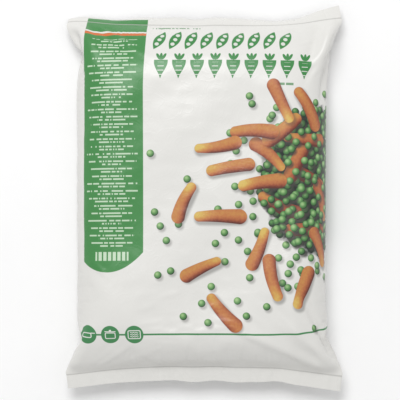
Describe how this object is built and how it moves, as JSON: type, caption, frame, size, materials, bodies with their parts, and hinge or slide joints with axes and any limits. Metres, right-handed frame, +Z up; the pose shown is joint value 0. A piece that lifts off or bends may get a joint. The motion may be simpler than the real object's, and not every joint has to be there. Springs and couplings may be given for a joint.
{
  "type": "frozen vegetable bag",
  "caption": "Filled pillow bag of frozen vegetables lying on its back, with a flat welded seal across each end and the top seal folded behind.",
  "frame": {"origin": "middle of the bag's bounding box in plan, on the table that it lies on", "axes": "+X across the bag to the right of the printed face, +Y from the foot of the print to its head, +Z up out of the printed face"},
  "size_m": [0.2874, 0.4036, 0.0618],
  "materials": {
    "printed_film": "glossy printed film"
  },
  "bodies": {
    "root": {"bag": "printed_film"}
  },
  "joints": []
}
